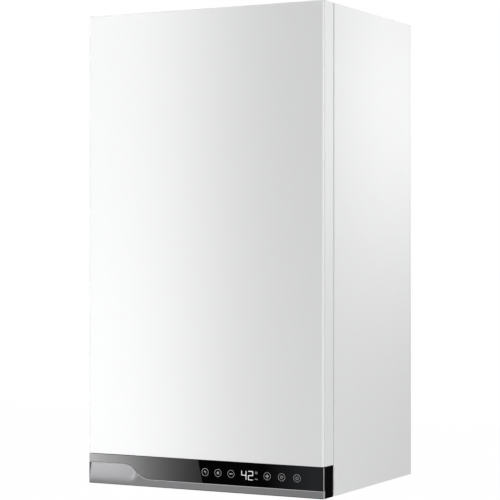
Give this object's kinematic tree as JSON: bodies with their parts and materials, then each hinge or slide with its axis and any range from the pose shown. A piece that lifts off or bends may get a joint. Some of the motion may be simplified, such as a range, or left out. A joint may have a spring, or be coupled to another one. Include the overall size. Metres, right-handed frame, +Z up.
{
  "type": "wall-hung gas boiler",
  "caption": "White wall-hung gas boiler with a lift-off front cover, a fold-down touch control strip, a sealed burner chamber and pipe tails underneath.",
  "frame": {"origin": "midway between the two wall bolts, in the plane of the wall", "axes": "+Z up, +Y into the wall, the front faces -Y, +X to the right of someone facing the boiler"},
  "size_m": [0.4, 0.33, 0.738],
  "materials": {
    "white_paint": "satin white powder coat",
    "galvanised": "zinc coated sheet",
    "stainless": "stainless steel",
    "black_gloss": "gloss black moulding",
    "black_plastic": "matt black moulding",
    "touch_black": "black touch window",
    "smoked_fade": "smoked metallic film under gloss",
    "silver_trim": "silver lacquer",
    "brass_cast": "cast brass",
    "copper": "copper tube",
    "aluminium_cast": "die-cast aluminium",
    "pump_iron": "painted casting",
    "vessel_red": "red paint",
    "seal": "foam gasket",
    "insulation": "ceramic fibre board",
    "ceramic_white": "glazed insulator",
    "white_plastic": "moulded",
    "grey_plastic": "moulded",
    "red_plastic": "moulded",
    "blue_plastic": "moulded",
    "board_green": "circuit board",
    "sight_pane": "sight glass",
    "screw_zinc": "zinc plated"
  },
  "bodies": {
    "casing": {"air_pressure_switch": "black_plastic", "air_vent": "grey_plastic", "back_panel": "galvanised", "burner": "stainless", "burner_manifold": "aluminium_cast", "cable_gland": "black_plastic", "chamber_box": "galvanised", "chamber_cover": "galvanised", "chamber_gasket": "seal", "chamber_screws": "screw_zinc", "combustion_liner": "insulation", "diverter_actuator": "white_plastic", "electrodes": "ceramic_white", "expansion_vessel": "vessel_red", "fan_housing": "stainless", "fan_motor": "pump_iron", "filling_tap": "brass_cast", "flow_manifold": "brass_cast", "flow_pipe": "copper", "flow_sensor": "black_plastic", "flue_collar": "aluminium_cast", "flue_hood": "stainless", "gas_coils": "black_plastic", "gas_pipe": "copper", "gas_tail": "brass_cast", "gas_valve": "aluminium_cast", "heat_exchanger": "copper", "hinge_brackets": "galvanised", "intake_caps": "grey_plastic", "left_side_panel": "white_paint", "pipe_plate": "galvanised", "plate_heat_exchanger": "stainless", "pressure_sensor": "brass_cast", "pump_motor": "pump_iron", "pump_terminal_box": "black_plastic", "pump_volute": "pump_iron", "return_manifold": "brass_cast", "return_pipe": "copper", "right_side_panel": "white_paint", "safety_valve": "brass_cast", "sight_glass": "sight_pane", "tail_nuts": "brass_cast", "top_panel": "white_paint", "vessel_pipe": "copper", "wall_bracket": "galvanised"},
    "cover": {"front_cover": "white_paint"},
    "control_box": {"control_fascia": "black_gloss", "touch_window": "touch_black", "fade_panel": "smoked_fade", "lower_trim": "silver_trim", "control_tray": "black_plastic", "control_lid": "black_plastic", "main_board": "board_green", "board_components": "black_plastic", "display_board": "board_green"},
    "fan_rotor": {"fan_impeller": "aluminium_cast"},
    "relief_knob": {"safety_knob": "red_plastic"},
    "tap_knob": {"filling_knob": "blue_plastic"}
  },
  "joints": [
    {"name": "cover_lift", "type": "slide", "parent": "casing", "child": "cover", "axis": [0, 0, 1], "range_m": [0, 0.7]},
    {"name": "control_fold", "type": "hinge", "parent": "casing", "child": "control_box", "pos_m": [0, -0.165, -0.65], "axis": [1, 0, 0], "range_deg": [0, 90]},
    {"name": "fan_spin", "type": "hinge", "parent": "casing", "child": "fan_rotor", "pos_m": [-0.029, -0.18, -0.042], "axis": [0, 1, 0], "continuous": true},
    {"name": "relief_turn", "type": "hinge", "parent": "casing", "child": "relief_knob", "pos_m": [0.14, -0.192, -0.6], "axis": [0, -1, 0], "range_deg": [0, 90]},
    {"name": "tap_turn", "type": "hinge", "parent": "casing", "child": "tap_knob", "pos_m": [0.105, -0.13, -0.658], "axis": [0, 0, -1], "range_deg": [0, 180]}
  ]
}
